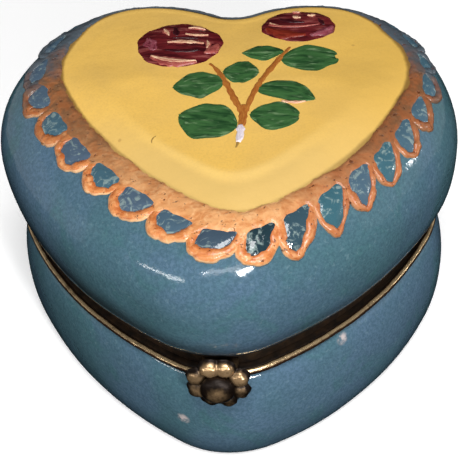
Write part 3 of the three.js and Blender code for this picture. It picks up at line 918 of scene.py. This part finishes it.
def stroke(name, line, width, lift, material, start, end, bulge=0.5):
    """A brush stroke along a Bezier line, widest at bulge; start and end are the ends' shares of it."""
    rows, cols = 28, 9
    grid, across, along, height = blank_sheet(rows, cols)
    for r in range(rows):
        t = r / (rows - 1)
        p, q = bezier(line, max(t - 0.01, 0)), bezier(line, min(t + 0.01, 1))
        tangent = (q - p) / np.hypot(*(q - p))
        normal = np.array([-tangent[1], tangent[0]])
        if t < bulge:
            taper = start + (1 - start) * math.sin(t / bulge * math.pi / 2)
        else:
            taper = end + (1 - end) * math.cos((t - bulge) / (1 - bulge) * math.pi / 2)
        edge = 1 + 0.5 * ripple(p[0] * 1.3, p[1] * 1.3, 2)
        for c in range(cols):
            a = 2 * c / (cols - 1) - 1
            grid[r, c] = bezier(line, t) + normal * a * width / 2 * taper * edge
            across[r, c], along[r, c] = a, t * 6
            height[r, c] = lift * (1 - abs(a) ** 3) - PAINT_SINK
    height[0, :], height[-1, :] = -PAINT_SINK, -PAINT_SINK
    sheet_of_paint(name, grid, across, along, height, material)


def leaf(name, foot, tip, width, lean, blunt, notch=0.0):
    """A leaf from foot to tip. lean bows it to its left (positive) or right; blunt rounds its two ends
    and notch cuts into its tip."""
    foot, tip = np.array(foot, float), np.array(tip, float)
    run = tip - foot
    normal = np.array([-run[1], run[0]]) / np.hypot(*run)
    rows, cols = 34, 21
    grid, across, along, height = blank_sheet(rows, cols)
    for r in range(rows):
        t = (1 - math.cos(math.pi * r / (rows - 1))) / 2
        swell = max(math.sin(math.pi * t), 0.0) ** (1 - blunt[0] * (1 - t) ** 2 - blunt[1] * t**2)
        for c in range(cols):
            a = 2 * c / (cols - 1) - 1
            reach = t - notch * max(0.0, 1 - (a / 0.4) ** 2) * float(smooth((t - 0.6) / 0.4))
            middle = foot + run * reach + normal * lean * math.sin(math.pi * t)
            ragged = 1 + 0.2 * ripple(t * 4 + foot[0], a * 1.2, foot[1])
            grid[r, c] = middle + normal * a * width / 2 * (swell * ragged + 0.02)
            across[r, c], along[r, c] = a, t * 5
            rib = 0.04 * bell(a, 0.16)
            height[r, c] = LEAF_LIFT * (1 - abs(a) ** 4) * min(1, 9 * t, 9 * (1 - t)) + rib - PAINT_SINK
    sheet_of_paint(name, grid, across, along, height, LEAF)


def build_leaves():
    leaf("leaf_left_upper", (0.5, 6.2), (-6.4, 4.9), 6.0, 0, (0.45, 0.1))
    leaf("leaf_left_lower", (2.9, -3.2), (-5.0, -0.5), 7.8, 0, (0.3, 0.22))
    leaf("leaf_middle", (-0.1, 8.3), (4.9, 8.1), 5.4, 0, (0.35, 0.3))
    leaf("leaf_small_right", (7.9, 13.1), (2.0, 12.8), 3.9, 0.3, (0.2, -0.1))
    leaf("leaf_right_upper", (7.3, 10.9), (15.2, 12.3), 6.6, 0, (0.35, 0.6), 0.07)
    leaf("leaf_right_middle", (4.7, 4.7), (12.5, 2.3), 4.2, 0.8, (0.6, 0.05))
    leaf("leaf_right_lower", (4.0, -0.6), (10.7, -0.9), 5.8, 0, (0.25, 0.5), 0.03)
    stroke("leaf_gap", [(8.0, 2.0), (9.4, 1.6), (11.2, 2.0)], 0.55, 0.2, PETAL, 0.5, 0.3)


def build_stems():
    left = [(-2.0, 10.3), (-0.4, 8.8), (0.7, 5.4), (3.2, -0.4)]
    right = [(8.6, 14.3), (7.2, 11.0), (4.2, 5.4), (3.6, -0.4)]
    stroke("stem_left", left, 1.1, 0.12, STEM, 0.3, 0.9, 0.6)
    stroke("stem_right", right, 1.05, 0.12, STEM, 0.35, 0.8)
    stroke("stem_foot", [(3.2, 1.4), (3.4, -0.4), (3.3, -2.9)], 1.5, 0.14, STEM, 0.7, 0.6)
    stroke("bud", [(3.1, -2.6), (3.4, -4.2), (3.1, -6.0)], 1.25, 0.24, BUD, 0.6, 0.4)
    stroke("bud_tip", [(3.1, -5.8), (3.05, -6.4), (2.9, -7.0)], 0.5, 0.12, FLAW, 0.8, 0.4)
    stroke("scratch", [(-7.2, -4.8), (-7.9, -5.4), (-7.6, -6.2)], 0.36, 0.06, FLAW, 0.5, 0.3)


def build_rose(name, x, y, wide, deep, tilt, strokes):
    """An oval of dark enamel with petal strokes over it, the cream ones each on a wider blush stroke.

    Each stroke is a line in half-widths of the oval, a width in mm and a material."""
    turn = math.radians(tilt)
    matrix = np.array([[math.cos(turn), -math.sin(turn)], [math.sin(turn), math.cos(turn)]])

    def place(p):
        return tuple(np.array([x, y]) + matrix @ (np.array(p) * [wide / 2, deep / 2]))

    rows, cols = 33, 41
    grid, across, along, height = blank_sheet(rows, cols)
    for r in range(rows):
        b = 2 * r / (rows - 1) - 1
        for c in range(cols):
            a = 2 * c / (cols - 1) - 1
            u, w = a * math.sqrt(1 - b * b / 2), b * math.sqrt(1 - a * a / 2)
            radius, around = math.hypot(u, w), math.atan2(w, u)
            scallop = 1 + 0.02 * math.sin(5 * around + x) + 0.012 * math.sin(13 * around)
            grid[r, c] = place((u * scallop, w * scallop))
            across[r, c], along[r, c] = w * 0.9, u * 3
            height[r, c] = ROSE_LIFT * (1 - radius**5) - PAINT_SINK
    sheet_of_paint(name, grid, across, along, height, ROSE)
    for k, (line, width, material) in enumerate(strokes):
        points = [place(p) for p in line]
        if material is PETAL:
            stroke(f"{name}_glow_{k}", points, width * 2.0, 0.32, BLUSH, 0.25, 0.25)
        stroke(f"{name}_stroke_{k}", points, width, 0.4, material, 0.25, 0.25)


def build_roses():
    build_rose("rose_left", -6.4, 14.9, 12.0, 11.2, -2, [
        ([(-0.76, 0.2), (-0.62, -0.08), (-0.52, -0.34)], 2.3, PLUM),
        ([(0.6, -0.42), (0.78, -0.28), (0.86, 0.02)], 1.9, BLUSH),
        ([(0.1, 0.7), (0.28, 0.82), (0.5, 0.68)], 0.9, PETAL),
        ([(0.06, 0.42), (0.32, 0.36), (0.62, 0.42)], 0.95, PETAL),
        ([(-0.44, 0.62), (-0.36, 0.48), (-0.28, 0.32)], 1.1, PETAL),
        ([(-0.3, 0.0), (0.1, 0.12), (0.58, 0.0)], 1.5, PETAL),
        ([(0.6, 0.16), (0.68, 0.0), (0.64, -0.2)], 0.7, PETAL),
        ([(-0.6, -0.54), (-0.1, -0.84), (0.5, -0.74)], 1.3, PETAL),
        ([(-0.2, 0.2), (0.1, 0.26), (0.4, 0.2)], 0.5, WINE),
        ([(-0.3, -0.32), (0.1, -0.4), (0.5, -0.3)], 1.1, WINE),
        ([(-0.2, 0.72), (-0.14, 0.5), (-0.1, 0.3)], 1.3, WINE),
        ([(-0.4, -0.68), (-0.1, -0.8), (0.3, -0.8)], 0.3, BLUSH),
    ])
    build_rose("rose_right", 9.35, 19.5, 10.4, 8.3, 1, [
        ([(-0.86, -0.14), (-0.45, -0.66), (0.25, -0.62)], 2.6, RUSSET),
        ([(0.3, -0.66), (0.74, -0.42), (0.9, -0.02)], 1.9, PLUM),
        ([(-0.8, 0.04), (-0.5, -0.16), (0.1, -0.18), (0.6, 0.06)], 0.9, BLUSH),
        ([(-0.76, 0.16), (-0.6, -0.06), (-0.4, -0.12)], 0.7, PETAL),
        ([(-0.16, 0.56), (-0.06, 0.44), (0.06, 0.46)], 1.2, PETAL),
        ([(0.22, 0.62), (0.32, 0.6), (0.44, 0.64)], 1.1, PETAL),
        ([(-0.18, 0.84), (-0.08, 0.86), (0.04, 0.82)], 0.7, PETAL),
        ([(-0.5, 0.4), (-0.34, 0.2), (0.2, 0.14)], 1.2, WINE),
        ([(0.5, 0.4), (0.62, 0.22), (0.66, 0.0)], 0.9, WINE),
    ])


build_leaves()
build_stems()
build_roses()


# ---------------- brass collars

SHEET_EDGE_R, TUBE_EDGE_R = 0.15, 0.22


def metal(name, vertices, faces, material, relief_and_highlight, body, slot, node):
    """A metal piece; its relief values say how far each vertex stands proud and is rubbed bright, and where
    highlights are painted on.
    """
    made = new_object(name, vertices, faces, [material], values={"relief_and_highlight": relief_and_highlight})
    fitted(made, body, slot, node)


def brass_ring(name, section, ring, material, body, slot, node, levels=None):
    """A brass piece of constant section all round the heart."""
    rings = [ring(inset, z) for inset, z in section]
    n = len(rings[0])
    faces = loft_faces(len(rings), n, True)
    relief_and_highlight = np.repeat(levels or [0.4] * len(rings), n)
    metal(name, wobble(np.vstack(rings), size=0.05, scale=2.4), faces, material, relief_and_highlight, body, slot, node)


def build_collars():
    edge = WIRE_INSET + WIRE_R + 0.05
    inner = SLEEVE_INSET + SHEET
    foot = SEAM_Z - SHEET - SLEEVE_DEPTH
    base_section = rounded([
        (edge, SEAM_Z - SHEET), (edge, SEAM_Z), (LIP_INSET, SEAM_Z), (LIP_INSET, SEAM_Z + LIP_RISE),
        (inner, SEAM_Z + LIP_RISE), (inner, foot), (SLEEVE_INSET, foot), (SLEEVE_INSET, SEAM_Z - SHEET),
    ], SHEET_EDGE_R)
    brass_ring("collar_base", base_section, base_ring, COLLAR_BRASS, "base", "brass", "base_collar")
    top, bottom = LID_MOUTH_Z - FIT, SEAM_Z + 0.45
    sleeve = LID_MOUTH_INSET + WALL + FIT
    lid_section = rounded([
        (SKIRT_INSET, bottom), (SKIRT_INSET, top), (sleeve, top), (sleeve, top + SLEEVE_DEPTH),
        (sleeve + SHEET, top + SLEEVE_DEPTH), (sleeve + SHEET, top - SHEET),
        (SKIRT_INSET + SHEET, top - SHEET), (SKIRT_INSET + SHEET, bottom),
    ], SHEET_EDGE_R)
    brass_ring("collar_lid", lid_section, lid_ring, COLLAR_BRASS, "lid", "brass", "lid_collar")
    turns = [2 * math.pi * k / 16 for k in range(16)]
    wire = [(WIRE_INSET - WIRE_R * math.cos(a), SEAM_Z - WIRE_DROP + WIRE_R * math.sin(a)) for a in turns]
    # Painted highlight and rubbed wear: a bright line along the wire's upper outer side.
    rubbed_and_highlight = [0.05 + 0.95 * max(0.0, math.sin(a + 0.4)) ** 6 for a in turns]
    brass_ring("rim_wire", wire, base_ring, BRIGHT_BRASS, "base", "bright_brass", "base_rim_wire", rubbed_and_highlight)


# ---------------- hinge

def turned(name, profile, material, body, slot, node, level):
    """A closed shape turned about the hinge line; profile holds (radius, x) points."""
    sides, rings = 56, []
    for k in range(sides):
        a = 2 * math.pi * k / sides
        rings.append([(x, PIVOT_Y + r * math.cos(a), PIVOT_Z + r * math.sin(a)) for r, x in profile])
    vertices = np.array(rings).reshape(-1, 3)
    faces = [f[::-1] for f in loft_faces(sides, len(profile), True)]
    relief_and_highlight = [level] * len(vertices)
    metal(name, wobble(vertices, size=0.03, scale=1.6), faces, material, relief_and_highlight, body, slot, node)


def build_hinge():
    reach = KNUCKLE_LENGTH + KNUCKLE_GAP
    for node, body, middle in (
        ("knuckle_left", "base", -reach), ("knuckle_middle", "lid", 0.0), ("knuckle_right", "base", reach),
    ):
        x0, x1 = middle - KNUCKLE_LENGTH / 2, middle + KNUCKLE_LENGTH / 2
        wall = [(KNUCKLE_BORE, x0), (KNUCKLE_R, x0), (KNUCKLE_R, x1), (KNUCKLE_BORE, x1)]
        turned(f"tube_{node}", rounded(wall, TUBE_EDGE_R), DARK_BRASS, body, "brass", node, 0.75)
    neck = 1.5 * KNUCKLE_LENGTH + KNUCKLE_GAP + FIT
    crown = [(PIN_HEAD_R * math.cos(a), neck + PIN_DOME * math.sin(a)) for a in np.linspace(0, 1.5, 7)]
    end = [(PIN_R, neck), *crown, (0.01, neck + PIN_DOME)]
    section = [(r, -x) for r, x in reversed(end)] + end
    turned("pin_peened", section, PIN_STEEL, "base", "pin_steel", "hinge_pin", 0.5)
    for node in ("base_hinge_leaf", "lid_hinge_leaf"):
        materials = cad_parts[node].data.materials
        materials.clear()
        materials.append(DARK_BRASS)


# ---------------- clasp

def build_tongue():
    """The sprung strip from the lid's collar out over the wire and down, following the tip's curve."""
    shelf, face = SEAM_Z + 1.2, TONGUE_INSET - TONGUE_SHEET
    back, top = SKIRT_INSET - 0.05, shelf + TONGUE_SHEET
    section = rounded([
        (TONGUE_INSET, TONGUE_BOTTOM), (face, TONGUE_BOTTOM), (face, shelf), (TONGUE_INSET, top),
        (back, top), (back, shelf), (TONGUE_INSET, shelf),
    ], 0.14)
    columns = []
    for x in np.linspace(CLASP_X - TONGUE_WIDTH / 2, CLASP_X + TONGUE_WIDTH / 2, 15):
        column = []
        for inset, z in section:
            ring = lid_ring(inset, z)
            front = ring[(abs(ring[:, 0] - x) < 3) & (ring[:, 1] < TIP_Y)]
            front = front[np.argsort(front[:, 0])]
            column.append((x, np.interp(x, front[:, 0], front[:, 1]), z))
        columns.append(np.array(column))
    vertices, faces = capped_mesh(columns, columns[0].mean(0), columns[-1].mean(0))
    relief_and_highlight = [0.45] * len(vertices)
    metal("tongue_strip", vertices, faces, BRONZE, relief_and_highlight, "lid", "antique_bronze", "clasp_tongue")


ROSETTE_BACK_Y = FRONT_Y + TONGUE_INSET - TONGUE_SHEET - 0.2


def build_flower():
    """The cast rosette: uneven rounded petals round a sunken middle."""
    rng = random.Random(5)
    petals = []
    for k in range(PETALS):
        a = 2 * math.pi * (k + 0.5 + rng.uniform(-0.09, 0.09)) / PETALS
        centre = ROSETTE_R * rng.uniform(0.64, 0.69)
        petals.append((a, centre, ROSETTE_R - centre, rng.uniform(0.85, 1.15)))

    def outline(angle):
        reach = 0.7 * ROSETTE_R
        for a, centre, r, _ in petals:
            off = math.atan2(math.sin(angle - a), math.cos(angle - a))
            gap = r * r - (centre * math.sin(off)) ** 2
            if gap > 0 and abs(off) < 1:
                reach = max(reach, centre * math.cos(off) + math.sqrt(gap))
        return reach

    def height(x, z, rim):
        radius = math.hypot(x, z)
        dish = 0.3 + 0.12 * float(smooth((radius - BEAD_R) / 1.0))
        best = 0.0
        for a, centre, r, tall in petals:
            near = 1 - ((x - centre * math.cos(a)) ** 2 + (z - centre * math.sin(a)) ** 2) / (r * 1.02) ** 2
            best = max(best, tall * ROSETTE_DEPTH * 1.1 * math.sqrt(max(near, 0)))
        return max(dish, best) * min(1.0, (1 - rim) * 14 + 0.1)

    steps, rings, levels = 176, [], []
    for share in list(np.linspace(0.06, 0.92, 34)) + [0.95, 0.975, 0.99, 1.0]:
        ring = []
        for k in range(steps):
            angle = 2 * math.pi * k / steps
            radius = share * outline(angle)
            x, z = radius * math.cos(angle), radius * math.sin(angle)
            h = height(x, z, share)
            ring.append((CLASP_X + x, ROSETTE_BACK_Y - h, ROSETTE_Z + z))
            # Proud parts are rubbed bright; the upper petals are also painted lighter and the lower ones
            # darker, as painted light from above.
            levels.append(h / ROSETTE_DEPTH * (0.62 + 0.42 * z / ROSETTE_R))
        rings.append(np.array(ring))
    back = rings[-1].copy()
    back[:, 1] = ROSETTE_BACK_Y
    rings, levels = rings + [back], levels + [0.0] * steps
    middle = [CLASP_X, ROSETTE_BACK_Y, ROSETTE_Z]
    front = [CLASP_X, ROSETTE_BACK_Y - height(0, 0, 0), ROSETTE_Z]
    vertices, faces = capped_mesh(rings, front, middle)
    moved, relief_and_highlight = wobble(vertices, size=0.12, scale=0.9), levels + [0.2, 0.0]
    metal("cast_rosette", moved, faces, BRONZE, relief_and_highlight, "lid", "antique_bronze", "clasp_flower")


def ellipsoid(name, centre, radii, material, level, body, slot, node, uneven):
    """A slightly uneven cast ball, painted lighter where it faces the front: a painted highlight."""
    around, rings, levels = 48, [], []
    turn = [2 * math.pi * i / around for i in range(around)]
    for k in range(1, 24):
        a = math.pi * k / 24
        rings.append(np.array([
            (centre[0] + radii[0] * math.sin(a) * math.cos(t), centre[1] - radii[1] * math.cos(a),
             centre[2] + radii[2] * math.sin(a) * math.sin(t)) for t in turn
        ]))
        levels += [level * max(0.0, math.cos(a)) ** 2.5] * around
    ends = [np.array(centre) + [0, side * radii[1], 0] for side in (-1, 1)]
    vertices, faces = capped_mesh(rings, *ends)
    relief_and_highlight = levels + [level, 0.0]
    metal(name, wobble(vertices, size=uneven, scale=1.1), faces, material, relief_and_highlight, body, slot, node)


def build_clasp():
    build_tongue()
    build_flower()
    bead = (CLASP_X, ROSETTE_BACK_Y - BEAD_HEIGHT, ROSETTE_Z)
    radii = (BEAD_R, BEAD_R * BEAD_FLATTENING, BEAD_R)
    ellipsoid("cast_bead", bead, radii, BRONZE, 0.65, "lid", "antique_bronze", "clasp_bead", 0.06)
    nub = (CLASP_X, FRONT_Y + TONGUE_INSET + 0.05 + NUB_R, SEAM_Z - WIRE_DROP)
    radii = (NUB_R * NUB_WIDTH, NUB_R, NUB_R)
    ellipsoid("solder_nub", nub, radii, DARK_BRASS, 0.9, "base", "brass", "catch_nub", 0.03)


build_collars()
build_hinge()
build_clasp()


# ---------------- floor, light and camera

LIGHT_TARGET = Vector((0, 0, 28))


def build_stage():
    bpy.ops.mesh.primitive_plane_add(size=3.0, location=(0, 0, -0.0002))
    floor = bpy.context.object
    floor.name = "floor"
    n = Nodes("floor_white")
    n.set(Base_Color=(0.9, 0.9, 0.9, 1), Roughness=0.9, Specular_IOR_Level=0.0)
    n.set(Emission_Color=(1, 1, 1, 1), Emission_Strength=0.3)
    floor.data.materials.append(n.material)
    floor.visible_glossy = False  # the studio behind the glaze's reflections is dark, not white paper
    floor.visible_diffuse = False
    world = bpy.data.worlds.new("studio")
    bpy.context.scene.world = world
    world.use_nodes = True
    world.cycles_visibility.glossy = False
    tree = world.node_tree
    height = tree.nodes.new("ShaderNodeSeparateXYZ")
    tree.links.new(tree.nodes.new("ShaderNodeTexCoord").outputs["Generated"], height.inputs[0])
    sky = tree.nodes.new("ShaderNodeMapRange")
    tree.links.new(height.outputs["Z"], sky.inputs["Value"])
    for socket, number in (("From Min", -0.2), ("From Max", 0.5), ("To Min", 0.14), ("To Max", 0.42)):
        sky.inputs[socket].default_value = number
    tree.links.new(sky.outputs["Result"], tree.nodes["Background"].inputs["Strength"])


def area_light(name, azimuth, elevation, distance, size, power):
    """A rectangular lamp; azimuth is counterclockwise from +X, size is its width and height in mm."""
    a, e = math.radians(azimuth), math.radians(elevation)
    away = Vector((math.cos(a) * math.cos(e), math.sin(a) * math.cos(e), math.sin(e)))
    light = bpy.data.lights.new(name, "AREA")
    light.shape = "RECTANGLE"
    light.size, light.size_y = size[0] * MM, size[1] * MM
    light.energy = power
    made = bpy.data.objects.new(name, light)
    made.location = (LIGHT_TARGET + away * distance) * MM
    made.rotation_mode = "QUATERNION"
    made.rotation_quaternion = (-away).to_track_quat("-Z", "Y")
    bpy.context.scene.collection.objects.link(made)


def build_lights():
    area_light("key", -76, 66, 1000, (400, 400), 7.4)
    area_light("lamp", -64, 20, 400, (52, 34), 0.95)
    area_light("spark", -104, 27, 400, (14, 14), 0.06)
    area_light("window_left", -135, 14, 400, (230, 18), 0.30)
    area_light("window_right", 10, 9, 400, (22, 40), 0.14)
    area_light("front_panel", -84, 30, 700, (420, 120), 0.9)
    area_light("wall_left", 160, 6, 700, (900, 500), 0.45)
    area_light("wall_right", 18, 8, 700, (900, 500), 0.5)


def build_camera():
    """The camera's place round the box: azimuth, elevation and roll in degrees, the rest in mm."""
    azimuth, elevation, roll = math.radians(8.0), math.radians(43.42), math.radians(-5.02)
    distance, across, up_by = 198.64, -0.40, -1.84
    aim = Vector((0.345, 3.7, 18.0))
    back = Vector((
        math.sin(azimuth) * math.cos(elevation),
        -math.cos(azimuth) * math.cos(elevation),
        math.sin(elevation),
    ))
    right = Vector((math.cos(azimuth), math.sin(azimuth), 0))
    up = back.cross(right)
    right, up = right * math.cos(roll) + up * math.sin(roll), up * math.cos(roll) - right * math.sin(roll)
    data = bpy.data.cameras.new("camera")
    data.sensor_width = 36.0
    data.lens = 112.07
    data.clip_start, data.clip_end = 0.01, 10
    camera = bpy.data.objects.new("camera", data)
    axes = Matrix((right, up, back)).transposed().to_4x4()
    place = (aim + right * across + up * up_by + back * distance) * MM
    camera.matrix_world = Matrix.Translation(place) @ axes
    bpy.context.scene.collection.objects.link(camera)
    bpy.context.scene.camera = camera


build_stage()
build_lights()
build_camera()
bpy.context.scene.view_settings.view_transform = "Standard"
